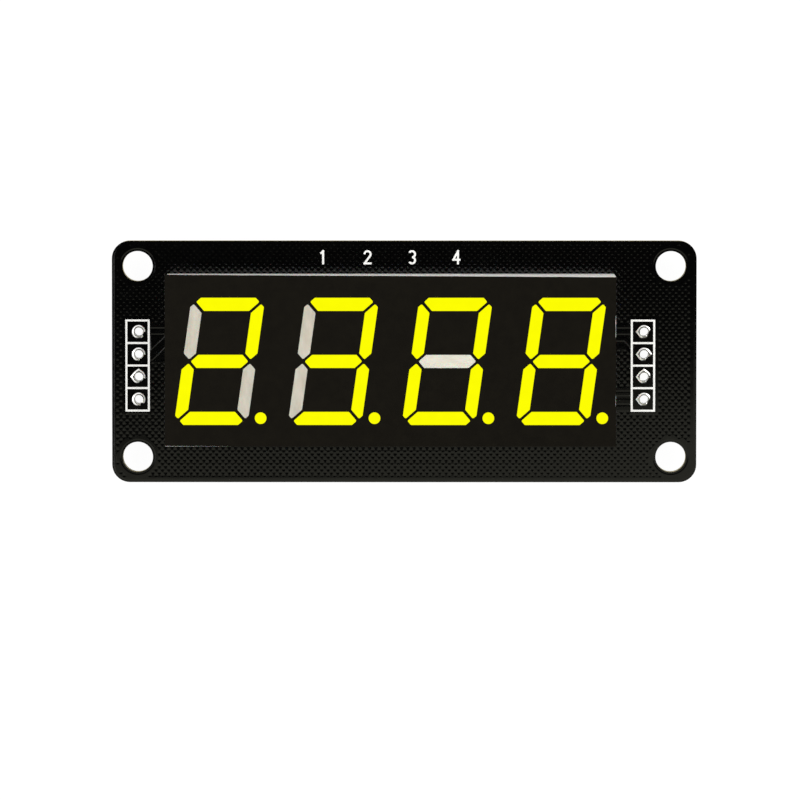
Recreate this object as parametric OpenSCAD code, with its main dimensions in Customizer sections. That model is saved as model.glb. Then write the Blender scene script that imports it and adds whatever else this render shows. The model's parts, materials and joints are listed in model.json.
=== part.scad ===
// Four-digit seven-segment LED display on its carrier board.
// The board lies flat: its rear face is z = 0, the digits face +Z and their tops point to +Y.
// The origin is the centre of the four mounting holes, on the board's rear face.

/* [Layout] */
// From the board's left end to the left header
header_left_edge = 3; // [2.6:0.1:6]
// From the left header to the display
header_left_gap = 3.25; // [2:0.05:6]
// From the display to the right header
header_right_gap = 3.35; // [2:0.05:6]
// From the right header to the board's right end
header_right_edge = 5.9; // [2.6:0.1:8]
// From the display to the board's upper edge
display_upper_edge = 3.7; // [3.2:0.05:8]
// From the display to the board's lower edge
display_lower_edge = 4.5; // [1:0.05:8]
// From a mounting hole's centre to the board's nearest end
mount_edge_x = 2.9; // [2.6:0.1:3.4]
// From a mounting hole's centre to the board's nearest long edge
mount_edge_y = 2.85; // [2.6:0.05:3.4]

/* [Circuit board] */
// Diameter of a mounting hole
mount_hole_d = 3.4; // [2.2:0.1:3.6]
// Thickness of the laminate
board_t = 1.6; // [0.8:0.1:2.4]
// Radius of the board's corners
board_corner_r = 2; // [0.5:0.1:2.5]
// Thickness of the tinned copper pads
pad_t = 0.06; // [0.03:0.01:0.1]
// Thickness of the printed legend
ink_t = 0.03; // [0.02:0.01:0.05]

/* [Headers] */
// Distance between the holes of a header
header_pitch = 2.54; // [2.5:0.01:2.6]
// Middle of both headers, above the middle of the board
header_y = -0.45; // [-1:0.05:1]
// Diameter of a plated header hole
header_hole_d = 1; // [0.8:0.05:1.1]
// Diameter of the tinned ring around a header hole
header_ring_d = 1.55; // [1.4:0.05:1.7]
// Distance from a hole to the point where a trace leaves its ring
teardrop_reach = 0.95; // [0.9:0.01:1.2]

/* [Legend] */
// Width of the printed frame around a header
frame_w = 2.74; // [2.6:0.02:3]
// Width of a printed line
ink_line = 0.22; // [0.15:0.01:0.35]
// How far the print lies to the left of the copper
ink_shift = 0.12; // [0:0.01:0.15]
// Height of the printed numerals
numeral_h = 1.6; // [1:0.1:2]
// Distance from one numeral to the next
numeral_pitch = 5; // [3:0.1:6]
// From the display's top edge to the middle of the numerals
numeral_gap = 1.85; // [1.3:0.05:2.4]

/* [Display housing] */
// Length of the display
display_w = 50.3; // [49.6:0.1:56]
// Depth of the display across its digits
display_d = 19; // [18:0.1:22]
// Height of the display above the board
display_h = 8; // [6:0.1:10]
// Wall of the shell around its rear recess
shell_wall = 0.8; // [0.5:0.05:0.95]
// Radius of the shell's upright edges
shell_edge_r = 0.1; // [0.05:0.05:0.45]
// Thickness of the black face film
film_t = 0.12; // [0.05:0.01:0.3]
// How far the film stops short of the shell's edge
film_inset = 0.03; // [0.01:0.01:0.2]
// Thickness of the substrate that carries the dies and pins
substrate_t = 0.8; // [0.5:0.1:1.2]
// Clearance between the substrate and the shell
substrate_gap = 0.1; // [0.05:0.01:0.15]
// Depth of the potting behind the substrate
potting_t = 1.4; // [1:0.1:1.8]
// How far the potting lies above the board
potting_rise = 0.2; // [0.15:0.05:0.5]

/* [Digits] */
// Distance from one digit to the next
digit_pitch = 12.7; // [12.4:0.01:12.7]
// Height of a digit
digit_h = 14.2; // [12:0.1:14.4]
// Width of a digit, before its slant
digit_w = 8.2; // [7.5:0.02:8.4]
// Slant of the digits, in degrees
digit_slant = 8; // [0:0.5:9]
// Width of the upright bars
upright_w = 1.35; // [1.2:0.05:1.6]
// Width of the top and bottom bars
level_w = 1.47; // [1.2:0.01:1.7]
// Width of the middle bar
middle_w = 1.47; // [1.2:0.01:1.7]
// How much each outer corner of a digit is cut off
corner_cut = 1.04; // [0.9:0.02:1.4]
// Gap between two bars at a corner
corner_gap = 0.33; // [0.15:0.01:0.4]
// Gap between the bars around the ends of the middle bar
middle_gap = 0.31; // [0.2:0.01:0.45]
// Radius of the bars' own corners
bar_round = 0.16; // [0.05:0.01:0.2]
// Diameter of a decimal point
point_d = 1.3; // [1:0.05:1.5]
// From a digit's middle to its decimal point
point_x = 4.58; // [4.5:0.02:4.9]
// From a digit's foot up to the middle of its point
point_rise = 0.76; // [0.6:0.02:1]
// Side of an LED die
die_w = 0.25; // [0.2:0.01:0.35]
// Height of an LED die
die_h = 0.12; // [0.08:0.01:0.2]

/* [Display pins] */
// Pins in each of the two rows
pins_per_row = 6; // [5:1:7]
// Distance from one pin to the next
pin_pitch = 2.54; // [2.5:0.01:2.6]
// From the display's upper and lower edges to a row of pins
pin_edge = 1.88; // [1.4:0.02:2]
// Diameter of a pin
pin_d = 0.5; // [0.4:0.05:0.6]
// Diameter of a plated pin hole
pin_hole_d = 0.9; // [0.8:0.05:1]
// Diameter of the ring around a pin hole
pin_ring_d = 1.6; // [1.4:0.05:1.8]
// How far a pin stands out behind the board
pin_tail = 1.5; // [1:0.1:1.8]
// Height of the solder around a pin
solder_h = 0.9; // [0.5:0.1:0.9]

/* [Driver chip] */
// Length of the chip's body
chip_l = 12.8; // [12.4:0.1:13]
// Width of the chip's body
chip_w = 7.5; // [7.2:0.1:7.6]
// Thickness of the chip's body
chip_t = 2.3; // [2.1:0.1:2.5]
// Gap between the board and the chip's body
chip_rise = 0.15; // [0.1:0.05:0.3]
// How much each side of the body slopes in from its parting line
chip_draft = 0.15; // [0:0.01:0.2]
// How far the leads reach out of the body
lead_reach = 1.4; // [1.3:0.05:1.6]
// Leads on each long side of the chip
leads_per_side = 10; // [8:1:10]
// Distance from one lead to the next
lead_pitch = 1.27; // [1.25:0.01:1.27]
// Width of a lead
lead_w = 0.42; // [0.3:0.02:0.5]
// Thickness of a lead
lead_t = 0.25; // [0.2:0.01:0.3]
// Length of a lead's flat foot
lead_foot = 0.7; // [0.5:0.05:0.8]
// How far a lead reaches into the body
lead_root = 0.5; // [0.3:0.1:0.8]

/* [Small parts] */
// Length of a small part, over its end caps
small_l = 2; // [1.6:0.1:2.2]
// Width of a small part
small_w = 1.25; // [0.8:0.05:1.4]
// Height of a capacitor
capacitor_h = 0.85; // [0.6:0.05:1.2]
// Height of a resistor
resistor_h = 0.5; // [0.4:0.05:0.8]
// Length of an end cap
end_cap = 0.4; // [0.3:0.05:0.5]
// Gap between the chip's body and the small parts beside it
small_gap = 2.4; // [2:0.1:3]
// Distance between the two small parts of a pair
small_pair = 4; // [3:0.1:5]

/* [Solder] */
// How far a pad and its solder run past the part on it
solder_run = 0.35; // [0.2:0.05:0.5]

/* [Hidden] */
$fn = 64;
e = 0.01;
board_w = header_left_edge + header_left_gap + display_w + header_right_gap + header_right_edge;
board_d = display_lower_edge + display_d + display_upper_edge;
mount_pitch = [board_w - 2 * mount_edge_x, board_d - 2 * mount_edge_y];
display_x = header_left_edge + header_left_gap + (display_w - board_w) / 2;
display_y = display_lower_edge + (display_d - board_d) / 2;
pin_row_gap = display_d - 2 * pin_edge;
chip_span = chip_w + 2 * lead_reach;
header_pins = 4;
header_xs = [header_left_edge - board_w / 2, board_w / 2 - header_right_edge];
frame_h = header_pins * header_pitch + ink_line;

// Heights inside the display, from the board's rear face.
potting_z = board_t + potting_rise;
substrate_z = potting_z + potting_t;
cavity_z = substrate_z + substrate_t;
film_z = board_t + display_h - film_t;
face_z = board_t + display_h;

// The top right corner of a digit, from its middle. Its bars meet on a 45 degree line through inner.
outer = [digit_w / 2, digit_h / 2];
inner = outer - [upright_w, level_w];
upright_x = outer.x - upright_w / 2;
cut_sum = outer.x + outer.y - corner_cut;
half_gap = corner_gap / sqrt(2);
tip = middle_gap / sqrt(2);
round_steps = 4;

// The segments and the decimal points that are lit in each digit.
BARS = ["a", "b", "c", "d", "e", "f", "g"];
LIT = ["abdegp", "abcdgp", "abcdefp", "abcdefgp"];
DIGITS = [1:len(LIT)];

lit_colour = "yellow";
unlit_colour = [0.84, 0.81, 0.77];
tin_colour = [0.78, 0.79, 0.8];
solder_colour = [0.68, 0.69, 0.71];
epoxy_colour = [0.12, 0.12, 0.13];

function bar_name(d, bar) = str("digit", d, "_segment_", bar);
function point_name(d) = str("digit", d, "_point");
function lit(d, mark) = len(search(mark, LIT[d - 1])) > 0;
function light_colour(d, mark) = lit(d, mark) ? lit_colour : unlit_colour;

function unit(v) = v / norm(v);
function mirrored(points, signs) = [for (p = points) [p.x * signs.x, p.y * signs.y]];
function slanted(p) = [p.x + p.y * tan(digit_slant), p.y];

// The arc that rounds corner b of an outline, between its neighbours a and c.
function corner_arc(a, b, c, r) =
    let (
        u = unit(a - b),
        v = unit(c - b),
        half = acos(u * v) / 2,
        centre = b + unit(u + v) * r / sin(half),
        first = b + u * r / tan(half) - centre,
        last = b + v * r / tan(half) - centre,
        start = atan2(first.y, first.x),
        turn = (atan2(last.y, last.x) - start + 540) % 360 - 180
    )
    [for (i = [0:round_steps]) let (t = start + turn * i / round_steps) centre + r * [cos(t), sin(t)]];

function rounded(points, r) =
    let (n = len(points))
    [for (i = [0:n - 1]) each corner_arc(points[(i + n - 1) % n], points[i], points[(i + 1) % n], r)];

// The top bar, the upper right bar and the middle bar, before their slant.
function top_bar() =
    let (
        end = [cut_sum + inner.x - inner.y - half_gap, cut_sum - inner.x + inner.y + half_gap] / 2,
        right = [[cut_sum - outer.y, outer.y], end, [inner.x - half_gap, inner.y]]
    )
    concat(right, [for (i = [2:-1:0]) [-right[i].x, right[i].y]]);

function upright_bar() = [
    [cut_sum + inner.x - inner.y + half_gap, cut_sum - inner.x + inner.y - half_gap] / 2,
    [outer.x, cut_sum - outer.x],
    [outer.x, tip + upright_w / 2],
    [upright_x, tip],
    [inner.x, tip + upright_w / 2],
    [inner.x, inner.y - half_gap]
];

function middle_bar() =
    let (end = upright_x - tip, shoulder = end - middle_w / 2)
    [
        [end, 0], [shoulder, middle_w / 2], [-shoulder, middle_w / 2],
        [-end, 0], [-shoulder, -middle_w / 2], [shoulder, -middle_w / 2]
    ];

function bar_outline(bar) =
    bar == "a" ? top_bar() :
    bar == "b" ? upright_bar() :
    bar == "c" ? mirrored(upright_bar(), [1, -1]) :
    bar == "d" ? mirrored(top_bar(), [1, -1]) :
    bar == "e" ? mirrored(upright_bar(), [-1, -1]) :
    bar == "f" ? mirrored(upright_bar(), [-1, 1]) :
    middle_bar();

function mean(points) = [for (p = points) 1 / len(points)] * points;

module at_display() { translate([display_x, display_y, 0]) children(); }

module at_digit(d) { translate([(d - (len(LIT) + 1) / 2) * digit_pitch, 0, 0]) children(); }

module at_point() { translate([point_x, point_rise - digit_h / 2, 0]) children(); }

// The holes of a header count from the top.
module at_header_hole(x, i) {
    translate([x, header_y + ((header_pins + 1) / 2 - i) * header_pitch, 0]) children();
}

module at_display_pins() {
    at_display()
        for (i = [1:pins_per_row], side = [-1, 1])
            translate([(i - (pins_per_row + 1) / 2) * pin_pitch, side * pin_row_gap / 2, 0]) children();
}

// What lies behind the board is drawn with its height pointing up, and turned over here.
module behind_board() { at_display() mirror([0, 0, 1]) children(); }

module at_leads() {
    for (i = [1:leads_per_side], side = [0, 1])
        translate([(i - (leads_per_side + 1) / 2) * lead_pitch, 0, 0]) mirror([0, side, 0]) children();
}

// The pair of capacitors is left of the chip, and the pair of resistors right of it.
module at_small_parts(side) {
    for (row = [-1, 1])
        translate([side * (chip_l / 2 + small_gap + small_w / 2), row * small_pair / 2, 0])
            rotate([0, 0, 90]) children();
}

module rounded_rectangle(w, d, r) {
    square([w - 2 * r, d], center = true);
    square([w, d - 2 * r], center = true);
    for (x = [-1, 1], y = [-1, 1])
        translate([x * (w / 2 - r), y * (d / 2 - r)]) circle(r = r);
}

module bar_shape(bar) { polygon(rounded([for (p = bar_outline(bar)) slanted(p)], bar_round)); }

module digit_shapes() {
    for (bar = BARS) bar_shape(bar);
    at_point() circle(d = point_d);
}

module all_digit_shapes() { for (d = DIGITS) at_digit(d) digit_shapes(); }

module drill(d) { translate([0, 0, -e]) cylinder(d = d, h = board_t + 2 * e); }

module circuit_board() {
    color([0.07, 0.07, 0.065])
        difference() {
            linear_extrude(board_t) rounded_rectangle(board_w, board_d, board_corner_r);
            for (x = [-1, 1], y = [-1, 1])
                translate([x * mount_pitch.x / 2, y * mount_pitch.y / 2, 0]) drill(mount_hole_d);
            for (x = header_xs, i = [1:header_pins]) at_header_hole(x, i) drill(header_hole_d);
            at_display_pins() drill(pin_hole_d);
        }
}

// The rings around a plated hole, on both faces. Each trace that joins the front one has a pointed flare.
module hole_rings(hole_d, ring_d, traces) {
    for (z = [-pad_t, board_t])
        translate([0, 0, z]) linear_extrude(pad_t)
            difference() {
                union() {
                    circle(d = ring_d);
                    if (z > 0)
                        for (a = traces) rotate([0, 0, a]) flare(ring_d / 2);
                }
                circle(d = hole_d);
            }
}

// The flare's sides touch the ring of radius r and meet at its point.
module flare(r) {
    lean = acos(r / teardrop_reach);
    polygon([[0, 0], r * [cos(lean), sin(lean)], [teardrop_reach, 0], r * [cos(lean), -sin(lean)]]);
}

// traces holds, for each hole from the top, the directions in degrees of the traces that leave it.
module header_pads(x, traces) {
    color(tin_colour)
        for (i = [1:header_pins]) at_header_hole(x, i) hole_rings(header_hole_d, header_ring_d, traces[i - 1]);
}

module left_header_pads() { header_pads(header_xs[0], [[], [], [90, 180], []]); }

module right_header_pads() { header_pads(header_xs[1], [[180], [0, 180], [90, 180], [180]]); }

module display_pin_pads() { color(tin_colour) at_display_pins() hole_rings(pin_hole_d, pin_ring_d, []); }

module line(p, q) {
    translate(p) rotate([0, 0, atan2(q.y - p.y, q.x - p.x)])
        translate([-ink_line / 2, -ink_line / 2]) square([norm(q - p) + ink_line, ink_line]);
}

module bend(centre, r, from, to) {
    steps = 12;
    arc = [for (i = [0:steps]) from + (to - from) * i / steps];
    polygon(concat(
        [for (t = arc) centre + (r + ink_line / 2) * [cos(t), sin(t)]],
        [for (i = [steps:-1:0]) centre + (r - ink_line / 2) * [cos(arc[i]), sin(arc[i])]]
    ));
}

// The numerals 1 to 4, each around its own middle.
module numeral(n) {
    half = (numeral_h - ink_line) / 2;
    r = half / 2;
    neck = 35;
    if (n == 1) {
        line([0, -half], [0, half]);
        line([-0.6 * r, half - 0.6 * r], [0, half]);
    }
    if (n == 2) {
        bend([0, r], r, -neck, 180);
        line(r * [cos(neck), 1 - sin(neck)], [-r, -half]);
        line([-r, -half], [r, -half]);
    }
    if (n == 3) {
        bend([0, r], r, -90, 150);
        bend([0, -r], r, -150, 90);
    }
    if (n == 4) {
        line([0.5 * r, -half], [0.5 * r, half]);
        line([0.5 * r, half], [-r, -0.4 * half]);
        line([-r, -0.4 * half], [r, -0.4 * half]);
    }
}

module header_frame() {
    cell_w = frame_w - 2 * ink_line;
    cell_h = header_pitch - ink_line;
    difference() {
        square([frame_w, frame_h], center = true);
        for (i = [1:header_pins])
            translate([0, (i - (header_pins + 1) / 2) * header_pitch]) square([cell_w, cell_h], center = true);
    }
}

module front_legend() {
    color("white")
        translate([-ink_shift, 0, board_t]) linear_extrude(ink_t) {
            for (x = header_xs) translate([x, header_y]) header_frame();
            for (n = [1:4])
                translate([
                    display_x + (n - 2.5) * numeral_pitch,
                    display_y + display_d / 2 + numeral_gap
                ]) numeral(n);
        }
}

module display_shell() {
    recess = [display_w - 2 * shell_wall, display_d - 2 * shell_wall];
    color([0.93, 0.92, 0.9])
        at_display()
            difference() {
                translate([0, 0, board_t])
                    linear_extrude(film_z - board_t) rounded_rectangle(display_w, display_d, shell_edge_r);
                translate([-recess.x / 2, -recess.y / 2, board_t - e])
                    cube([recess.x, recess.y, cavity_z - board_t + e]);
                translate([0, 0, cavity_z - e])
                    linear_extrude(film_z - cavity_z + 2 * e) all_digit_shapes();
            }
}

module face_film() {
    inset = 2 * film_inset;
    color([0.1, 0.095, 0.08])
        at_display() translate([0, 0, film_z]) linear_extrude(film_t)
            difference() {
                square([display_w - inset, display_d - inset], center = true);
                all_digit_shapes();
            }
}

module display_substrate() {
    size = [display_w, display_d] - 2 * (shell_wall + substrate_gap) * [1, 1];
    color([0.75, 0.72, 0.5])
        difference() {
            at_display() translate([-size.x / 2, -size.y / 2, substrate_z]) cube([size.x, size.y, substrate_t]);
            at_display_pins() translate([0, 0, substrate_z - e]) cylinder(d = pin_d, h = substrate_t + 2 * e);
        }
}

module potting_resin() {
    size = [display_w, display_d] - 2 * shell_wall * [1, 1];
    color([0.85, 0.82, 0.74])
        difference() {
            at_display() translate([-size.x / 2, -size.y / 2, potting_z]) cube([size.x, size.y, potting_t]);
            at_display_pins() translate([0, 0, potting_z - e]) cylinder(d = pin_d, h = potting_t + 2 * e);
        }
}

// A die on the substrate, lowered by below to cut its pocket cleanly.
module die(below = 0) {
    translate([-die_w / 2, -die_w / 2, cavity_z - below]) cube([die_w, die_w, die_h + below]);
}

module at_bar_middle(bar) {
    middle = slanted(mean(bar_outline(bar)));
    translate([middle.x, middle.y, 0]) children();
}

module led_dies() {
    color([0.9, 0.8, 0.2])
        at_display() for (d = DIGITS) at_digit(d) {
            for (bar = BARS) at_bar_middle(bar) die();
            at_point() die();
        }
}

// Each bar and point is clear resin that fills its well, from the substrate to the front of the film.
module segment_bar(d, bar) {
    color(light_colour(d, bar))
        at_display() at_digit(d)
            difference() {
                translate([0, 0, cavity_z]) linear_extrude(face_z - cavity_z) bar_shape(bar);
                at_bar_middle(bar) die(e);
            }
}

module decimal_point(d) {
    color(light_colour(d, "p"))
        at_display() at_digit(d) at_point()
            difference() {
                translate([0, 0, cavity_z]) cylinder(d = point_d, h = face_z - cavity_z);
                die(e);
            }
}

module display_pins() {
    color(tin_colour) at_display_pins() translate([0, 0, -pin_tail]) cylinder(d = pin_d, h = pin_tail + cavity_z);
}

// Solder fills the plated hole around the pin and stands up in a cone behind the board.
module display_solder_joints() {
    collar = 0.1;
    color(solder_colour)
        at_display_pins()
            difference() {
                union() {
                    translate([0, 0, -pad_t]) cylinder(d = pin_hole_d, h = board_t + 2 * pad_t);
                    translate([0, 0, -pad_t - solder_h])
                        cylinder(d1 = pin_d + 2 * collar, d2 = pin_ring_d, h = solder_h);
                }
                translate([0, 0, -pad_t - solder_h - e]) cylinder(d = pin_d, h = board_t + solder_h + 3 * pad_t);
            }
}

// The end view of the chip's body: widest at the parting line, half way up.
module body_profile(w) {
    top = chip_rise + chip_t;
    middle = chip_rise + chip_t / 2;
    near = w / 2 - chip_draft;
    polygon([
        [-near, chip_rise], [near, chip_rise], [w / 2, middle], [near, top], [-near, top], [-w / 2, middle]
    ]);
}

// The side view of a lead: out of the body, down to the pad and along it.
module lead() {
    level = chip_rise + chip_t / 2;
    root = chip_w / 2 - lead_root;
    knee = chip_w / 2 + lead_t;
    toe = chip_span / 2;
    heel = toe - lead_foot;
    rotate([90, 0, 90]) translate([0, 0, -lead_w / 2]) linear_extrude(lead_w)
        polygon([
            [root, level - lead_t / 2], [knee - lead_t / 2, level - lead_t / 2], [heel - lead_t / 2, pad_t],
            [toe, pad_t], [toe, pad_t + lead_t], [heel + lead_t / 2, pad_t + lead_t],
            [knee + lead_t / 2, level + lead_t / 2], [root, level + lead_t / 2]
        ]);
}

module driver_chip() {
    dimple_d = 1;
    dimple_depth = 0.1;
    color(epoxy_colour)
        behind_board()
            difference() {
                intersection() {
                    translate([-chip_l / 2, 0, 0]) rotate([90, 0, 90]) linear_extrude(chip_l) body_profile(chip_w);
                    translate([0, chip_w / 2, 0]) rotate([90, 0, 0]) linear_extrude(chip_w) body_profile(chip_l);
                }
                at_leads() lead();
                translate([1.2 * dimple_d - chip_l / 2, 1.2 * dimple_d - chip_w / 2, chip_rise + chip_t - dimple_depth])
                    cylinder(d = dimple_d, h = dimple_depth + e);
            }
}

module driver_chip_leads() { color(tin_colour) behind_board() at_leads() lead(); }

module driver_chip_pads() {
    inner_end = chip_span / 2 - lead_foot - solder_run;
    width = lead_w + 0.4 * solder_run;
    color(tin_colour)
        behind_board() at_leads()
            translate([-width / 2, inner_end, 0]) cube([width, lead_foot + 2 * solder_run, pad_t]);
}

// A solder fillet of width w and height h, rising against a face at y = 0.
module fillet(w, h) {
    rotate([90, 0, 90]) translate([0, 0, -w / 2]) linear_extrude(w) polygon([[0, 0], [solder_run, 0], [0, h]]);
}

module driver_chip_solder() {
    color(solder_colour) behind_board() at_leads() translate([0, chip_span / 2, pad_t]) fillet(lead_w, lead_t);
}

module small_body(h) {
    translate([end_cap - small_l / 2, -small_w / 2, pad_t]) cube([small_l - 2 * end_cap, small_w, h]);
}

module small_ends(h) {
    for (side = [0, 1])
        mirror([side, 0, 0]) translate([small_l / 2 - end_cap, -small_w / 2, pad_t]) cube([end_cap, small_w, h]);
}

module ceramic_capacitors() {
    color([0.62, 0.5, 0.36]) behind_board() at_small_parts(-1) small_body(capacitor_h);
}

module capacitor_terminals() { color(tin_colour) behind_board() at_small_parts(-1) small_ends(capacitor_h); }

module pull_up_resistors() { color(epoxy_colour) behind_board() at_small_parts(1) small_body(resistor_h); }

module resistor_terminals() { color(tin_colour) behind_board() at_small_parts(1) small_ends(resistor_h); }

module at_small_ends() {
    for (part = [-1, 1], side = [-90, 90])
        at_small_parts(part) rotate([0, 0, side]) translate([0, small_l / 2, 0]) children();
}

module small_part_pads() {
    color(tin_colour)
        behind_board() at_small_ends()
            translate([-small_w / 2, -end_cap, 0]) cube([small_w, end_cap + solder_run, pad_t]);
}

module small_part_solder() {
    color(solder_colour) behind_board() at_small_ends() translate([0, 0, pad_t]) fillet(small_w, resistor_h / 2);
}

circuit_board();
front_legend();
left_header_pads();
right_header_pads();
display_pin_pads();
display_shell();
face_film();
display_substrate();
potting_resin();
led_dies();
display_pins();
display_solder_joints();
for (d = DIGITS, bar = BARS)
    segment_bar(d, bar);
for (d = DIGITS)
    decimal_point(d);
driver_chip();
driver_chip_leads();
driver_chip_pads();
driver_chip_solder();
ceramic_capacitors();
capacitor_terminals();
pull_up_resistors();
resistor_terminals();
small_part_pads();
small_part_solder();
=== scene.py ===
"""The looks of a four-digit seven-segment clock display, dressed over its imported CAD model."""

import json
import math
import random

import bmesh
import bpy
from mathutils import Matrix, Vector
from mathutils.geometry import delaunay_2d_cdt


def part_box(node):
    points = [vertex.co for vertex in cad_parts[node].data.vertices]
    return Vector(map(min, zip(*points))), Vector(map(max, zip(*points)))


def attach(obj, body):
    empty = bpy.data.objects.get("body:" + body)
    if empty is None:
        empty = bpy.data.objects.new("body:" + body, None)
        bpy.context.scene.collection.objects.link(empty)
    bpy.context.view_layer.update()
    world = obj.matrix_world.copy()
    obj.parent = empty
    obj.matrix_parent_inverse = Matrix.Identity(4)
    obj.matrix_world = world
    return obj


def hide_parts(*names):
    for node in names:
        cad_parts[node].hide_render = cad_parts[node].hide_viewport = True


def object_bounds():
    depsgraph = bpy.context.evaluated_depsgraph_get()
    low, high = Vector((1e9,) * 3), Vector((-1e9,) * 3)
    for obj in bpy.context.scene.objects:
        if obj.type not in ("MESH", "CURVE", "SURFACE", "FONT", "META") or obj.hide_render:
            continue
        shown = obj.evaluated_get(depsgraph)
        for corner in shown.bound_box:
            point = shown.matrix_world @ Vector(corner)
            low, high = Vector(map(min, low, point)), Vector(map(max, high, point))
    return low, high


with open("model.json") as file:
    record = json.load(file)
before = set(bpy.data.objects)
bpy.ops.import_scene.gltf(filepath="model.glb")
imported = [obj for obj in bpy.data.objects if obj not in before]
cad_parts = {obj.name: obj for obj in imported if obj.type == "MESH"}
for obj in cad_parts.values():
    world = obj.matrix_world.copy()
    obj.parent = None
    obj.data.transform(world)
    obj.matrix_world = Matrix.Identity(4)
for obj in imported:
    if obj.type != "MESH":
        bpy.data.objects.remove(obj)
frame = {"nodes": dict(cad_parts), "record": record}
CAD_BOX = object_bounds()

MM = 0.001
NODES = frame["nodes"]


def reach(name):
    """A CAD node's lowest and highest corners, in millimetres."""
    low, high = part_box(name)
    return Vector(low) / MM, Vector(high) / MM


BOARD = reach("circuit_board")
SHELL = reach("display_shell")
LEGEND = reach("front_legend")
CHIP_PADS = reach("driver_chip_pads")
SMALL_PADS = reach("small_part_pads")
MOUNTS = {m["name"]: m for m in frame["record"]["mounts"]}
HOLE_SPAN = [MOUNTS["mounting_holes"]["dims"][k] / 2 for k in ("spacing_x_mm", "spacing_y_mm")]
MOUNT_HOLES = [Vector((x * HOLE_SPAN[0], y * HOLE_SPAN[1])) for x in (-1, 1) for y in (-1, 1)]
MOUNT_HOLE_R = MOUNTS["mounting_holes"]["dims"]["hole_r_mm"]


def header(side):
    """The centres of a header's four holes, from the top."""
    return [Vector(MOUNTS[f"{side}_header_pin_{i}"]["pos_m"][:2]) / MM for i in range(1, 5)]


LEFT_PINS, RIGHT_PINS = header("left"), header("right")
PIN_HOLE_R = MOUNTS["left_header_pin_1"]["dims"]["r_mm"]
DISPLAY = (SHELL[0] + SHELL[1]) / 2
PIN_STEP = 1.27  # half the pitch of the display's pins
PIN_ROW = 7.62  # from the display's middle to either row of pins
PIN_PLACES = (-5, -3, -1, 1, 3, 5)  # along a row, in pin steps
DISPLAY_PINS = [
    Vector((DISPLAY.x + x * PIN_STEP, DISPLAY.y + y * PIN_ROW)) for y in (-1, 1) for x in PIN_PLACES
]
PLATED_HOLES = LEFT_PINS + RIGHT_PINS + DISPLAY_PINS

# ---------------------------------------------------------------- materials


def srgb(r, g, b):
    """A colour as a screen shows it, 0 to 255, as the linear colour that a shader takes."""
    return [(c / 255 / 12.92) if c <= 10 else ((c / 255 + 0.055) / 1.055) ** 2.4 for c in (r, g, b)] + [1.0]


def add(tree, kind, inputs=None, **settings):
    """Makes a shader node with its settings. inputs gives its sockets a value or another node's output."""
    made = tree.nodes.new(kind)
    for key, value in settings.items():
        setattr(made, key, value)
    for key, value in (inputs or {}).items():
        if isinstance(value, bpy.types.NodeSocket):
            tree.links.new(value, made.inputs[key])
        else:
            made.inputs[key].default_value = value
    return made


def remap(tree, value, before, after):
    """A value moved from one range to another, and kept within it."""
    ends = {"From Min": before[0], "From Max": before[1], "To Min": after[0], "To Max": after[1]}
    return add(tree, "ShaderNodeMapRange", {"Value": value, **ends}).outputs["Result"]


def surface(
    name,
    low,
    high,
    grain,
    rough,
    stretch=(1, 1, 1),
    relief=0.0,
    relief_grain=4.0,
    speckle=None,
    **shader,
):
    """A surface whose colour runs between low and high in patches, grain of them to a millimetre, and whose
    roughness runs between rough's two. relief is how high its fine bumps stand, in millimetres. speckle is
    a second colour with how much of it shows. shader gives the shader's other inputs."""
    made = bpy.data.materials.new(name)
    made.use_nodes = True
    tree = made.node_tree
    bsdf = tree.nodes["Principled BSDF"]
    place = add(tree, "ShaderNodeTexCoord").outputs["Object"]
    scaled = add(tree, "ShaderNodeMapping", {"Vector": place, "Scale": [s / MM for s in stretch]})

    def noise(scale, detail, **more):
        inputs = {"Vector": scaled.outputs["Vector"], "Scale": scale, "Detail": detail, **more}
        return add(tree, "ShaderNodeTexNoise", inputs).outputs["Fac"]

    ramp = add(tree, "ShaderNodeValToRGB", {"Fac": noise(grain, 5.0, Roughness=0.6)})
    for stop, at, colour in zip(ramp.color_ramp.elements, (0.35, 0.65), (low, high)):
        stop.position, stop.color = at, srgb(*colour)
    colour = ramp.outputs["Color"]
    if speckle:
        share = remap(tree, noise(relief_grain, 1.0), (0.58, 0.68), (0.0, speckle[1]))
        both = {"Fac": share, "Color1": colour, "Color2": srgb(*speckle[0])}
        colour = add(tree, "ShaderNodeMixRGB", both).outputs["Color"]
    tree.links.new(colour, bsdf.inputs["Base Color"])
    tree.links.new(remap(tree, noise(grain * 1.7, 3.0), (0.3, 0.7), rough), bsdf.inputs["Roughness"])
    if relief:
        height = {"Height": noise(relief_grain, 3.0), "Distance": relief * MM, "Strength": 1.0}
        tree.links.new(add(tree, "ShaderNodeBump", height).outputs["Normal"], bsdf.inputs["Normal"])
    for key, value in shader.items():
        bsdf.inputs[key.replace("_", " ")].default_value = value
    return made


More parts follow.
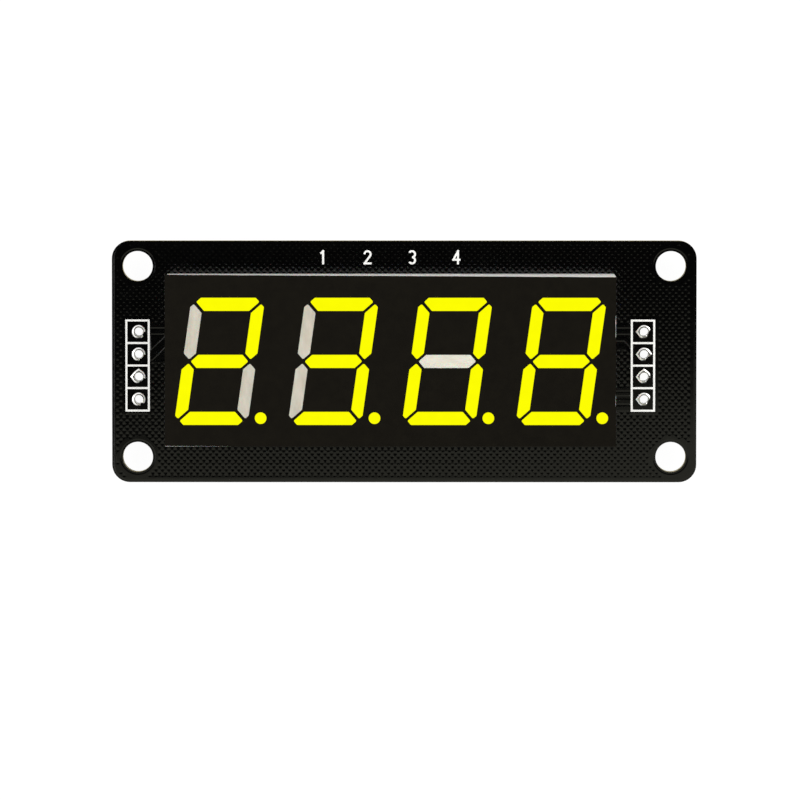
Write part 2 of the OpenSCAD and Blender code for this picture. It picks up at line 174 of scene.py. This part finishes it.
MASK = surface(
    "black_solder_mask",
    (2, 2, 2),
    (4, 4, 4),
    0.9,
    (0.09, 0.13),
    relief=0.0008,
    relief_grain=1.6,
)
LAMINATE = surface(
    "glass_laminate_edge",
    (160, 148, 102),
    (184, 173, 126),
    1.2,
    (0.55, 0.75),
    stretch=(1, 1, 9),
    relief=0.01,
    relief_grain=6.0,
)
# The legend ink's faint emission is a painted glow: it brightens the white print as extra light would, though
# the ink is no lamp.
INK_WITH_PAINTED_GLOW = surface(
    "white_legend_ink_with_painted_glow",
    (247, 247, 243),
    (254, 254, 252),
    2.5,
    (0.45, 0.6),
    relief=0.001,
    relief_grain=7.0,
    Emission_Color=(1.0, 1.0, 0.96, 1.0),
    Emission_Strength=0.16,
)
TIN = surface(
    "tinned_copper",
    (238, 237, 233),
    (252, 251, 248),
    3.0,
    (0.1, 0.2),
    relief=0.004,
    relief_grain=5.0,
    Metallic=1.0,
)
SOLDER = surface(
    "soft_solder",
    (196, 196, 194),
    (232, 232, 230),
    4.0,
    (0.18, 0.34),
    relief=0.006,
    relief_grain=3.0,
    Metallic=1.0,
)
SHELL_PLASTIC = surface(
    "white_moulded_shell",
    (237, 235, 230),
    (241, 240, 235),
    0.5,
    (0.38, 0.5),
    relief=0.004,
    relief_grain=5.0,
    Subsurface_Weight=0.15,
    Subsurface_Scale=0.0008,
)
FILM = surface(
    "matt_black_film",
    (16, 13, 7),
    (20, 17, 10),
    0.8,
    (0.5, 0.62),
    relief=0.0012,
    relief_grain=9.0,
    Specular_IOR_Level=0.07,
)


def unlit_resin(name, low, high, stretch):
    """Milky resin with a faint grain, which stretch gives its direction."""
    return surface(
        name,
        low,
        high,
        0.7,
        (0.42, 0.55),
        stretch=stretch,
        relief=0.002,
        relief_grain=6.0,
        Subsurface_Weight=0.25,
        Subsurface_Scale=0.0012,
    )


RESIN_OFF = unlit_resin("unlit_milky_resin", (206, 198, 181), (223, 215, 200), (1.6, 0.6, 1))
# An unlit bar among lit ones takes a lighter colour, a painted glow that stands in for the light spilling
# from its lit neighbours.
RESIN_PAINTED_GLOW = unlit_resin("unlit_resin_with_painted_glow_of_lit_bars", (234, 225, 209), (249, 240, 224), (0.6, 1.6, 1))
RESIN_LIT = surface(
    "lit_yellow_resin",
    (84, 84, 0),
    (96, 96, 0),
    0.7,
    (0.5, 0.62),
    relief=0.001,
    relief_grain=6.0,
    Emission_Color=(1.0, 1.0, 0.0, 1.0),
    Emission_Strength=0.88,
    Specular_IOR_Level=0.02,
)
POTTING = surface(
    "clear_potting",
    (196, 188, 160),
    (216, 210, 186),
    0.6,
    (0.15, 0.25),
    relief=0.004,
    relief_grain=0.8,
)
SUBSTRATE = surface(
    "display_laminate",
    (104, 112, 70),
    (130, 136, 92),
    2.0,
    (0.5, 0.65),
    relief=0.004,
    relief_grain=6.0,
)
DIE = surface("led_die", (186, 166, 70), (214, 196, 98), 9.0, (0.2, 0.35))
EPOXY = surface(
    "black_chip_epoxy",
    (24, 24, 25),
    (34, 34, 35),
    5.0,
    (0.48, 0.62),
    relief=0.009,
    relief_grain=11.0,
)
CERAMIC = surface(
    "tan_ceramic",
    (150, 118, 84),
    (172, 140, 104),
    4.0,
    (0.5, 0.65),
    relief=0.004,
    relief_grain=14.0,
    speckle=((120, 92, 64), 0.6),
)
RESISTOR = surface(
    "black_resistor_glaze",
    (14, 14, 16),
    (26, 26, 28),
    3.0,
    (0.12, 0.24),
    relief=0.004,
    relief_grain=4.0,
)


# ---------------------------------------------------------------- the CAD nodes' finishes


def dress(name, *materials, pick=None):
    """Gives a CAD node its materials. pick says which of them a face takes, from its centre and normal."""
    mesh = NODES[name].data
    mesh.materials.clear()
    for m in materials:
        mesh.materials.append(m)
    for face in mesh.polygons:
        face.material_index = pick(face.center / MM, face.normal) if pick else 0


def board_face(centre, normal):
    """Solder mask on the board's flats, tin in its plated holes, and bare laminate at its other edges."""
    if abs(normal.z) > 0.5:
        return 0
    return 2 if any((centre.xy - hole).length < 2 * PIN_HOLE_R for hole in PLATED_HOLES) else 1


dress("circuit_board", MASK, LAMINATE, TIN, pick=board_face)
for node_name, finish in {
    "front_legend": INK_WITH_PAINTED_GLOW,
    "display_pin_pads": TIN,
    "display_shell": SHELL_PLASTIC,
    "display_substrate": SUBSTRATE,
    "potting_resin": POTTING,
    "led_dies": DIE,
    "display_pins": TIN,
    "display_solder_joints": SOLDER,
    "driver_chip": EPOXY,
    "driver_chip_leads": TIN,
    "driver_chip_pads": TIN,
    "driver_chip_solder": SOLDER,
    "ceramic_capacitors": CERAMIC,
    "capacitor_terminals": TIN,
    "pull_up_resistors": RESISTOR,
    "resistor_terminals": TIN,
    "small_part_pads": TIN,
    "small_part_solder": SOLDER,
}.items():
    dress(node_name, finish)

ALL_BARS = "abcdefgp"  # a is the top bar, b to f run on clockwise, g is the middle one, p the decimal point
LIT_BARS = ("abdegp", "abcdgp", "abcdefp", "abcdefgp")  # the digits read 2. 3. 0. 8.
for digit, on in enumerate(LIT_BARS, 1):
    off = RESIN_PAINTED_GLOW if len(on) == len(ALL_BARS) - 1 else RESIN_OFF  # lighter where one bar alone is unlit: a painted glow from the lit bars round it
    for bar in ALL_BARS:
        part = "point" if bar == "p" else f"segment_{bar}"
        dress(f"digit{digit}_{part}", RESIN_LIT if bar in on else off)

# ---------------------------------------------------------------- shapes


def piece(name, bm, material, stands_for=(), smooth=False):
    """Makes a bmesh in millimetres into a piece that rides with the board. smooth None leaves its shading."""
    mesh = bpy.data.meshes.new(name)
    bm.to_mesh(mesh)
    bm.free()
    mesh.transform(Matrix.Scale(MM, 4))
    mesh.materials.append(material)
    if smooth is not None:
        for face in mesh.polygons:
            face.use_smooth = smooth
    made = bpy.data.objects.new(name, mesh)
    bpy.context.scene.collection.objects.link(made)
    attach(made, "root")
    if stands_for:
        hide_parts(*stands_for)
    return made


def box(x0, y0, x1, y1):
    """A rectangle between two corners."""
    return [Vector(p) for p in ((x0, y0), (x1, y0), (x1, y1), (x0, y1))]


def grown(low, high, by):
    """A rectangle between two corners, grown by so much, or shrunk where by is negative."""
    return box(low[0] - by, low[1] - by, high[0] + by, high[1] + by)


def disc(centre, r, sides):
    """A circle, as a polygon with that many sides."""
    turn = [2 * math.pi * (k + 0.5) / sides for k in range(sides)]
    return [centre + Vector((math.cos(t), math.sin(t))) * r for t in turn]


def rounded(half, r, sides=36):
    """A rounded rectangle round the middle with those half sizes."""
    points = []
    for way in disc(Vector((0, 0)), 1, sides):
        corner = Vector((math.copysign(half.x - r, way.x), math.copysign(half.y - r, way.y)))
        points.append(corner + way * r)
    return points


class Shape:
    """A convex outline, which runs anticlockwise."""

    def __init__(self, points):
        self.points = points
        self.low = [min(p[k] for p in points) for k in (0, 1)]
        self.high = [max(p[k] for p in points) for k in (0, 1)]
        self.sides = []
        for a, b in zip(points, points[1:] + points[:1]):
            side = (b - a).normalized()
            self.sides.append((side.y, -side.x, side.y * a.x - side.x * a.y))

    def holds(self, x, y, room=0.0):
        """Whether a point lies inside, or less than room outside."""
        if not (self.low[0] - room < x < self.high[0] + room):
            return False
        if not (self.low[1] - room < y < self.high[1] + room):
            return False
        return all(nx * x + ny * y - far < room for nx, ny, far in self.sides)


# ---------------------------------------------------------------- the board's copper

# Under the solder mask lies a cross-hatched pour, cut back from whatever it must not touch, and tracks.
HATCH = 0.508  # between the pour's parallel lines
STEP = HATCH / math.sqrt(2)  # between its columns, and its rows
PHASE = Vector((0.06, 0.07))  # where the pattern starts, from the board's middle
DIP_R, DIP = 0.225, 0.0155  # the soft hollow that the mask makes over each gap of the hatch
DIP_SIDES = 8
DIP_ROOM = 0.03  # from a hollow to the pour's edge, at least
COPPER = 0.016  # how far the copper lifts the mask
SKIRT = 0.14  # how far out the mask slopes down at the copper's edge
EDGE = 0.3  # from the board's edge to the pour
POUR_R = 1.7  # the radius of the pour's corners
KEEP = 0.3  # from a cut in the pour to the middle of a hollow, at least
PATCH_LIFT = 0.0004  # keeps a patch clear of a track under it
SUNK = 0.001  # how far a skirt's foot goes into the board
NARROW = 0.3  # the least cosine that a mitred corner is worked out with


def ribbon(bm, points, width):
    """A flat track along a line of points."""
    points = [Vector(p) for p in points]
    rows = []
    for i, p in enumerate(points):
        before = (p - points[i - 1]).normalized() if i else (points[1] - p).normalized()
        after = (points[i + 1] - p).normalized() if i + 1 < len(points) else before
        way = (before + after).normalized()
        across = Vector((-way.y, way.x)) * (width / 2 / max(NARROW, way.dot(before)))
        rows.append([bm.verts.new((*(p + across), 0)), bm.verts.new((*(p - across), 0))])
    for (a, b), (c, d) in zip(rows, rows[1:]):
        bm.faces.new((b, d, c, a))


def skirt(bm):
    """Slopes the open edges down to the bare board."""
    out = {}
    rim = [e for e in bm.edges if e.is_boundary]
    for e in rim:
        a, b = e.verts
        along = (b.co - a.co).normalized()
        away = (a.co + b.co) / 2 - e.link_faces[0].calc_center_median()
        away = (away - along * away.dot(along)).normalized()
        for v in (a, b):
            out.setdefault(v, []).append(away)
    made = {}
    for v, ways in out.items():
        total = sum(ways, Vector())
        mean = (total if total.length > 1e-6 else ways[0]).normalized()
        move = mean * min(SKIRT / max(NARROW, mean.dot(ways[0])), 2 * SKIRT)
        made[v] = bm.verts.new((v.co.x + move.x, v.co.y + move.y, -COPPER - SUNK))
    for e in rim:
        a, b = e.verts
        if e.link_loops[0].vert is a:
            bm.faces.new((b, a, made[a], made[b]))
        else:
            bm.faces.new((a, b, made[b], made[a]))


def hollow_places(rim, keep_off):
    """The middles of the pour's hollows, by their column and row."""
    columns, rows = (int(rim.high[axis] / STEP) + 1 for axis in (0, 1))
    dips = {}
    for i in range(-columns, columns + 1):
        for j in range(-rows, rows + 1):
            x, y = i * STEP + PHASE.x, j * STEP + PHASE.y
            if (i + j) % 2 or not rim.holds(x, y, -DIP_R - DIP_ROOM):
                continue
            if not any(shape.holds(x, y, room) for shape, room in keep_off):
                dips[i, j] = Vector((x, y))
    return dips


def sheet(bm, rim, cuts, dips):
    """The pour's flat face inside rim, open at the cuts and at the hollows."""
    outlines = [rim.points] + [shape.points for shape in cuts]
    outlines += [disc(dip, DIP_R, DIP_SIDES) for dip in dips.values()]
    spots, lines = [], []
    for outline in outlines:
        first, many = len(spots), len(outline)
        spots.extend(outline)
        lines.extend((first + k, first + (k + 1) % many) for k in range(many))
    points, _, faces, *_ = delaunay_2d_cdt(spots, lines, [], 0, 1e-6)
    corners = [bm.verts.new((*p, 0)) for p in points]
    for face in faces:
        x, y = (sum(points[k][axis] for k in face) / len(face) for axis in (0, 1))
        i, j = round((x - PHASE.x) / STEP), round((y - PHASE.y) / STEP)
        near = [dips.get((i + a, j + b)) for a in (-1, 0, 1) for b in (-1, 0, 1)]
        if any(dip and math.dist(dip, (x, y)) < DIP_R * 0.9 for dip in near):
            continue
        if rim.holds(x, y) and not any(shape.holds(x, y) for shape in cuts):
            bm.faces.new([corners[k] for k in face])


def hollow(bm, centre):
    """A soft round hollow, from the pour's face down."""
    rings = []
    for share in (1.0, 0.55):
        sink = DIP * (0.5 + 0.5 * math.cos(math.pi * share))
        rings.append([bm.verts.new((*p, -sink)) for p in disc(centre, DIP_R * share, DIP_SIDES)])
    bottom = bm.verts.new((*centre, -DIP))
    for k in range(DIP_SIDES):
        n = (k + 1) % DIP_SIDES
        bm.faces.new((rings[0][k], rings[0][n], rings[1][n], rings[1][k]))
        bm.faces.new((rings[1][k], rings[1][n], bottom))


def pour(name, up, cuts, tracks, patches, keep_off):
    """The pour, tracks and patches of one face of the board, the front where up is true. cuts are outlines
    that the pour leaves bare. keep_off holds outlines with how far the hollows stay away from them."""
    rim = Shape(rounded(BOARD[1].xy - Vector((EDGE, EDGE)), POUR_R))
    dips = hollow_places(rim, [(Shape(points), room) for points, room in keep_off])
    bm = bmesh.new()
    sheet(bm, rim, [Shape(points) for points in cuts], dips)
    for centre in dips.values():
        hollow(bm, centre)
    bmesh.ops.remove_doubles(bm, verts=bm.verts[:], dist=2e-5)
    bmesh.ops.delete(bm, geom=[v for v in bm.verts if not v.link_faces], context="VERTS")
    for line, width in tracks:
        ribbon(bm, line, width)
    for corners in patches:
        bm.faces.new([bm.verts.new((*p, PATCH_LIFT)) for p in corners])
    bm.normal_update()
    for f in bm.faces:
        if f.normal.z < 0:
            f.normal_flip()
    edges = {v for e in bm.edges if e.is_boundary for v in e.verts}
    soft = {f for f in bm.faces if not edges.intersection(f.verts)}
    skirt(bm)
    for f in bm.faces:
        f.smooth = f in soft
    if up:
        bmesh.ops.translate(bm, verts=bm.verts[:], vec=(0, 0, BOARD[1].z + COPPER))
    else:
        bmesh.ops.scale(bm, verts=bm.verts[:], vec=(1, 1, -1))
        bmesh.ops.reverse_faces(bm, faces=bm.faces[:])
        bmesh.ops.translate(bm, verts=bm.verts[:], vec=(0, 0, BOARD[0].z - COPPER))
    return piece(name, bm, MASK, smooth=None)


# The front. The printed frames round the header holes reach to the legend's ends. The pour stops under them.
INK_LINE = 0.22
FRAME_W = 2.74
HEADER_PITCH = LEFT_PINS[0].y - LEFT_PINS[1].y
FRAME_BOTTOM = LEGEND[0].y
FRAME_TOP = FRAME_BOTTOM + len(LEFT_PINS) * HEADER_PITCH + INK_LINE
UNDER_INK, UNDER_DISPLAY = 0.1, 0.3  # how far the pour reaches under the frames, and under the display
left_gap = (LEGEND[0].x + FRAME_W, SHELL[0].x)  # between the left frame and the display
right_gap = (SHELL[1].x, LEGEND[1].x - FRAME_W)
left_frame = grown((LEGEND[0].x, FRAME_BOTTOM), (left_gap[0], FRAME_TOP), -UNDER_INK)
right_frame = grown((right_gap[1], FRAME_BOTTOM), (LEGEND[1].x, FRAME_TOP), -UNDER_INK)
display_cut = grown(SHELL[0], SHELL[1], -UNDER_DISPLAY)
mount_clear = [disc(p, MOUNT_HOLE_R * 1.2, 40) for p in MOUNT_HOLES]

# Bare fields round the tracks in both gaps. Fields and tracks end under the display and under the frames.
TUCK = 0.35  # how far a field reaches under the display
TRACK_TUCK, INK_TUCK = 0.4, 0.2  # how far a track reaches under the display, and under a frame
top_track = LEFT_PINS[0].y
left_bare = box(left_gap[0] - 0.1, 0.05, left_gap[1] + TUCK, top_track + 0.5)
right_bare = box(right_gap[0] - TUCK, 1.8, right_gap[1] + 0.15, top_track + 0.5)
right_wedge = [Vector(p) for p in ((24.75, 1.8), (25.85, 0.7), (25.85, 1.8))]
right_low = box(right_gap[0] - TUCK, -5.05, right_gap[1] + 0.15, -3.25)
front_cuts = [left_frame, right_frame, left_bare, right_bare, right_wedge, right_low, *mount_clear]


def level_track(gap, y):
    """A track straight across a gap."""
    left, right = (INK_TUCK, TRACK_TUCK) if gap == left_gap else (TRACK_TUCK, INK_TUCK)
    return [(gap[0] - left, y), (gap[1] + right, y)]


pour(
    "front_copper_relief",
    up=True,
    cuts=[display_cut, *front_cuts],
    tracks=[
        (level_track(left_gap, top_track - 0.05), 0.32),
        ([(-28.5, 0.25), (-26.9, 1.85)], 0.2),
        (level_track(right_gap, top_track - 0.05), 0.32),
        ([(right_gap[0] - TRACK_TUCK, 2.53), (24.85, 2.53), (25.75, 1.63)], 0.3),
        (level_track(right_gap, -3.64), 0.28),
        (level_track(right_gap, -4.5), 0.42),
    ],
    patches=[[(-28.5, 1.4), (-27.1, 2.75), (-27.05, 2.93), (-28.5, 2.93)]],
    keep_off=[(display_cut, 0.1)] + [(shape, KEEP) for shape in front_cuts],
)

# The rear: bare fields round the chip's pads, the small parts' pads, the headers and the tracks.
FAN_HALF, FAN_END = 7.0, 8.6  # from the display's middle to the ends of the fields along its pins
SMALL_ROOM = 0.4
CHIP_ROOM = Vector((1.1, 0.5))
HEADER_ROOM = Vector((1.3, 1.2))
chip = (CHIP_PADS[0].xy, CHIP_PADS[1].xy)
chip_bare = box(*(chip[0] - CHIP_ROOM), *(chip[1] + CHIP_ROOM))
fan_low = box(DISPLAY.x - FAN_HALF, DISPLAY.y - FAN_END, DISPLAY.x + FAN_HALF, chip[0].y - 0.4)
fan_high = box(DISPLAY.x - FAN_HALF, chip[1].y + 0.4, DISPLAY.x + FAN_HALF, DISPLAY.y + FAN_END)
beside = (DISPLAY.x - FAN_HALF - SMALL_ROOM, DISPLAY.x + FAN_HALF + SMALL_ROOM)
below, above = SMALL_PADS[0].y - SMALL_ROOM, SMALL_PADS[1].y + SMALL_ROOM
small_bare = [
    box(SMALL_PADS[0].x - SMALL_ROOM, below, beside[0], above),
    box(beside[1], below, SMALL_PADS[1].x + SMALL_ROOM, above),
]
header_bare = [box(*(pins[3] - HEADER_ROOM), *(pins[0] + HEADER_ROOM)) for pins in (LEFT_PINS, RIGHT_PINS)]
track_bare = [
    box(*(LEFT_PINS[3] + Vector((0.9, -0.5))), *(LEFT_PINS[0] + Vector((4.6, 0.5)))),
    box(*(RIGHT_PINS[3] + Vector((-4.6, -0.5))), *(RIGHT_PINS[0] + Vector((-0.9, 0.5)))),
]
rear_cuts = [chip_bare, fan_low, fan_high, *small_bare, *header_bare, *track_bare, *mount_clear]

FAN_START, FAN_BEND = 4.6, 5.7  # how far from the display's middle a fanned track starts, and bends
HOLE_KEEP = 0.66  # from a hole's centre to the end of its track
rear_tracks = []
for side in (-1, 1):
    for k in PIN_PLACES:
        lead_x = DISPLAY.x + math.copysign((abs(k) - 0.5) * PIN_STEP, k)
        pin = Vector((DISPLAY.x + k * PIN_STEP, DISPLAY.y + side * PIN_ROW))
        bend_y = DISPLAY.y + side * FAN_BEND
        route = [
            (lead_x, DISPLAY.y + side * FAN_START),
            (lead_x, bend_y),
            (pin.x, bend_y + side * abs(pin.x - lead_x)),
            (pin.x, pin.y - side * HOLE_KEEP),
        ]
        rear_tracks.append((route, 0.36))
for i, (left, right) in enumerate(zip(LEFT_PINS, RIGHT_PINS)):
    for pin, side in ((left, -1), (right, 1)):
        route = [(pin.x - side * HOLE_KEEP, pin.y), (pin.x - side * (2.0 + 0.7 * i), pin.y)]
        rear_tracks.append((route, 0.4))
pour(
    "rear_copper_relief",
    up=False,
    cuts=rear_cuts,
    tracks=rear_tracks,
    patches=[],
    keep_off=[(shape, KEEP) for shape in rear_cuts],
)

# ---------------------------------------------------------------- the header holes' solder

# It stands proud in an uneven dome round each hole, with a pointed flare towards each track.
RING_R, RING_H = 0.745, 0.07
FLARE_TIP, BLUNT = 0.93, 0.02  # where a flare's sides would meet, and what its tip lacks of that
LIP_R = PIN_HOLE_R - 0.03
LIP_DEPTH = 0.35  # how far the solder goes down the hole
SHOULDER = 0.38  # how much of the way out the solder stays flat
RING_SIDES, RING_STEPS = 120, 16


def angle_between(a, b):
    """The angle between two directions, in radians."""
    return abs((a - b + math.pi) % (2 * math.pi) - math.pi)


def ring_reach(turn, flares):
    """How far out a ring goes in one direction, with flares at those angles in degrees."""
    r = RING_R
    lean = math.acos(RING_R / FLARE_TIP)
    for a in flares:
        off = angle_between(turn, math.radians(a))
        if off < lean:
            r = max(r, min(RING_R / math.cos(lean - off), FLARE_TIP - BLUNT))
    return r


def solder_ring(bm, centre, flares, scant, up, chance):
    """A ring of solder: a flat shoulder that reaches a little way over the hole, then a slope down to the
    board. On one side, between scant's two angles, the solder is missing and leaves a thin low lip."""
    thin_lip, lost = 0.08, 0.7  # the lip's width, and the share of the height that it lacks
    fade = 0.18  # the angle in which a ring thins down to the lip, in radians
    lean, strength = chance.uniform(0, 2 * math.pi), chance.uniform(0.03, 0.09)
    wobble = [(chance.uniform(0, 6.3), chance.uniform(0.01, 0.05)) for _ in range(3)]
    middle, half = math.radians(scant[0] + scant[1]) / 2, math.radians(scant[1] - scant[0]) / 2
    base = BOARD[1].z if up else BOARD[0].z
    out = 1 if up else -1
    rows = []
    for k in range(RING_SIDES):
        turn = 2 * math.pi * k / RING_SIDES
        bare = min(1.0, max(0.0, (half - angle_between(turn, middle)) / fade))
        far = ring_reach(turn, flares if up else ())
        far += (LIP_R + thin_lip - far) * bare
        shoulder = SHOULDER + strength * math.cos(turn - lean)
        high = RING_H * (1 + sum(a * math.cos((n + 2) * turn + t) for n, (t, a) in enumerate(wobble)))
        high *= 1 - lost * bare
        row = [(LIP_R, -LIP_DEPTH), (LIP_R, high * 0.9)]
        for i in range(1, RING_STEPS + 1):
            s = i / RING_STEPS
            fall = max(0.0, (s - shoulder) / (1 - shoulder))
            row.append((LIP_R + (far - LIP_R) * s, high * (1 - fall**1.5)))
        spots = [centre + Vector((math.cos(turn), math.sin(turn))) * r for r, _ in row]
        rows.append([bm.verts.new((*spot, base + out * z)) for spot, (_, z) in zip(spots, row)])
    for a, b in zip(rows, rows[1:] + rows[:1]):
        for i in range(len(a) - 1):
            quad = (a[i], a[i + 1], b[i + 1], b[i])
            bm.faces.new(quad if up else quad[::-1])


# Each hole's flares, and the two angles between which its solder is missing, from the top hole down.
HEADER_RINGS = {
    "left": [((), (-48, 2)), ((), (-88, 0)), ((90, 180), (-95, -12)), ((), (-80, -38))],
    "right": [((180,), (-62, 8)), ((0, 180), (-75, -18)), ((90, 180), (-70, -8)), ((180,), (-60, 0))],
}
chance = random.Random(11)
for side, pins in (("left", LEFT_PINS), ("right", RIGHT_PINS)):
    bm = bmesh.new()
    for pin, (ways, scant) in zip(pins, HEADER_RINGS[side]):
        for up in (True, False):
            solder_ring(bm, pin, ways, scant, up, chance)
    piece(f"{side}_header_rings", bm, TIN, (f"{side}_header_pads",), smooth=True)

# ---------------------------------------------------------------- the printed film

# It sits a little turned on the shell: its top edge runs down to the right, its lower edge stops short at the
# left, and its right edge has shallow notches.
NOTCHES = {5.2: 0.055, 4.5: 0.075, 3.9: 0.05, 3.2: 0.065, -3.6: 0.045, -4.5: 0.04}  # y and depth
NOTCH_ENDS = (5.7, 2.9, -3.2, -4.8)
OVERHANG = 0.01  # of the film's edges, past the shell's walls


def cut(bm, across, at):
    """Divides a mesh along a plane square to the axis across."""
    way = [0, 0, 0]
    way[across] = 1
    bmesh.ops.bisect_plane(
        bm,
        geom=bm.verts[:] + bm.edges[:] + bm.faces[:],
        plane_co=[at * w for w in way],
        plane_no=way,
        dist=1e-5,
    )


def is_at(a, b):
    """Whether two places along an axis are the same, to a thousandth of a millimetre."""
    return abs(a - b) < 1e-3


def printed_film():
    """The film's CAD mesh with its outer edges moved a little, and its windows as they are."""
    bm = bmesh.new()
    bm.from_mesh(NODES["face_film"].data)
    bmesh.ops.remove_doubles(bm, verts=bm.verts[:], dist=1e-6)
    bmesh.ops.scale(bm, verts=bm.verts[:], vec=(1 / MM,) * 3)
    for y in sorted((*NOTCHES, *NOTCH_ENDS), reverse=True):
        cut(bm, 1, y)
    for x in range(-24, 23, 3):
        cut(bm, 0, x)
    low, high = reach("face_film")
    for v in bm.verts:
        share = (v.co.x - low.x) / (high.x - low.x)
        wave = 0.008 * math.sin(v.co.x * 1.1) + 0.006 * math.sin(v.co.x * 2.3 + 1.0)
        at_high, at_low = is_at(v.co.y, high.y), is_at(v.co.y, low.y)
        if is_at(v.co.x, high.x):
            v.co.x = SHELL[1].x + OVERHANG
            v.co.x -= sum(depth for at, depth in NOTCHES.items() if is_at(v.co.y, at))
        elif is_at(v.co.x, low.x):
            v.co.x = SHELL[0].x - OVERHANG
        if at_high:
            v.co.y = SHELL[1].y + 0.16 - 0.26 * share + wave
        elif at_low:
            v.co.y = SHELL[0].y - OVERHANG + max(0.0, 0.055 - 0.25 * share) + wave * 0.4
    return bm


piece("printed_face_film", printed_film(), FILM, ("face_film",))

# ---------------------------------------------------------------- floor and world


def grey(level):
    """A grey as a shader takes it."""
    return (level, level, level, 1)


def larger(tree, a, b):
    """The larger of two values."""
    return add(tree, "ShaderNodeMath", {0: a, 1: b}, operation="MAXIMUM").outputs[0]


def mixed(tree, share, first, second):
    """A mix of two shaders, all second where share is 1."""
    inputs = {0: share, 1: first.outputs[0], 2: second.outputs[0]}
    return add(tree, "ShaderNodeMixShader", inputs)


def paper():
    """A pale floor that looks white to the camera, in mirrors and through glass, and takes a soft shadow."""
    made = bpy.data.materials.new("pale_floor")
    made.use_nodes = True
    tree = made.node_tree
    tree.nodes.clear()
    path = add(tree, "ShaderNodeLightPath").outputs
    seen = larger(tree, path["Is Camera Ray"], path["Is Glossy Ray"])
    seen = larger(tree, seen, path["Is Transmission Ray"])
    plain = add(tree, "ShaderNodeBsdfDiffuse", {"Color": grey(0.8)})
    shade = add(tree, "ShaderNodeBsdfDiffuse", {"Color": grey(0.12)})
    glow = add(tree, "ShaderNodeEmission", {"Color": grey(1), "Strength": 0.95})
    white = add(tree, "ShaderNodeAddShader", {0: shade.outputs[0], 1: glow.outputs[0]})
    add(tree, "ShaderNodeOutputMaterial", {"Surface": mixed(tree, seen, plain, white).outputs[0]})
    return made


def studio():
    """A world that lights softly and looks white. What shiny surfaces mirror is a white room that is dark
    straight above, where the camera hangs, and darker to one side."""
    made = bpy.data.worlds.new("studio")
    made.use_nodes = True
    tree = made.node_tree
    tree.nodes.clear()
    path = add(tree, "ShaderNodeLightPath").outputs
    way = add(tree, "ShaderNodeTexCoord").outputs["Generated"]
    height = add(tree, "ShaderNodeSeparateXYZ", {0: way}).outputs["Z"]
    room = add(tree, "ShaderNodeValToRGB", {"Fac": height})
    stops = room.color_ramp.elements
    stops[0].position, stops[0].color = 0.4, grey(1.0)
    stops[1].position, stops[1].color = 0.955, grey(0.008)
    for at, level in ((0.8, 1.0), (0.9, 0.7)):
        stops.new(at).color = grey(level)
    aside = add(tree, "ShaderNodeVectorMath", {0: way, 1: (0.75, -0.66, 0.0)}, operation="DOT_PRODUCT")
    shade = remap(tree, aside.outputs["Value"], (0.08, 0.45), (1.0, 0.03))
    both = {"Fac": 1.0, "Color1": room.outputs["Color"], "Color2": shade}
    dim = add(tree, "ShaderNodeMixRGB", both, blend_type="MULTIPLY").outputs["Color"]
    mirrored = add(tree, "ShaderNodeBackground", {"Color": dim, "Strength": 1.0})
    soft = add(tree, "ShaderNodeBackground", {"Color": grey(1), "Strength": 0.38})
    white = add(tree, "ShaderNodeBackground", {"Color": grey(1), "Strength": 1.0})
    unseen = mixed(tree, path["Is Glossy Ray"], soft, mirrored)
    seen = larger(tree, path["Is Camera Ray"], path["Is Transmission Ray"])
    add(tree, "ShaderNodeOutputWorld", {"Surface": mixed(tree, seen, unseen, white).outputs[0]})
    return made


FLOOR_HALF = 3.0  # in metres, like the drop that keeps the floor clear of the lowest faces
FLOOR_DROP = 0.00002
floor_mesh = bpy.data.meshes.new("floor")
ground = CAD_BOX[0][2] - FLOOR_DROP
corners = [(*corner, ground) for corner in box(-FLOOR_HALF, -FLOOR_HALF, FLOOR_HALF, FLOOR_HALF)]
floor_mesh.from_pydata(corners, [], [(0, 1, 2, 3)])
floor_mesh.materials.append(paper())
floor = bpy.data.objects.new("floor", floor_mesh)
bpy.context.scene.collection.objects.link(floor)
bpy.context.scene.world = studio()

# ---------------------------------------------------------------- lamps and camera


def area_light(name, place, aim, size, power):
    """A rectangular lamp that faces aim. Places and sizes are in metres."""
    light = bpy.data.lights.new(name, "AREA")
    light.shape = "RECTANGLE"
    light.size, light.size_y = size
    light.energy = power
    made = bpy.data.objects.new(name, light)
    made.location = place
    made.rotation_euler = (Vector(aim) - Vector(place)).to_track_quat("-Z", "Y").to_euler()
    made.visible_camera = False
    bpy.context.scene.collection.objects.link(made)
    return made


area_light("key", (-0.38, 0.03, 0.50), (0, 0, 0), (0.4, 0.4), 1.15)
area_light("fill", (0.38, 0.26, 0.42), (0, 0, 0), (0.36, 0.36), 0.97)
low_panel = area_light("low_panel", (0.05, -0.36, 0.60), (0.0, -0.12, 0), (0.8, 0.5), 0.5)
low_panel.visible_glossy = False
# The board's lower half mirrors this one, turned a little so that its edge runs as in the photograph.
low_screen = area_light("low_screen", (0.01, -0.086, 0.25), (0.01, -0.086, 0), (0.26, 0.13), 0.052)
low_screen.data.color = (1.0, 0.99, 0.8)
low_screen.rotation_euler.z = math.radians(5)
# This one lights the display's upper and right walls, which the slopes of the solder mirror.
area_light("side_panel", (0.35, 0.20, 0.10), (0.02, 0, 0.005), (0.2, 0.12), 0.5)

# The camera hangs almost straight above, a little to the board's upper side.
EYE = Vector((4.07, 38.98, 817.56))
TARGET = Vector((-0.47, -4.33, BOARD[1].z))
camera_data = bpy.data.cameras.new("camera")
camera_data.lens, camera_data.sensor_width = 326.5, 36
camera = bpy.data.objects.new("camera", camera_data)
bpy.context.scene.collection.objects.link(camera)
back = (EYE - TARGET).normalized()
right = Vector((0, 1, 0)).cross(back).normalized()
axes = Matrix((right, back.cross(right), back)).transposed()
camera.matrix_world = Matrix.Translation(EYE * MM) @ axes.to_4x4()
bpy.context.scene.camera = camera
bpy.context.scene.view_settings.view_transform = "Standard"
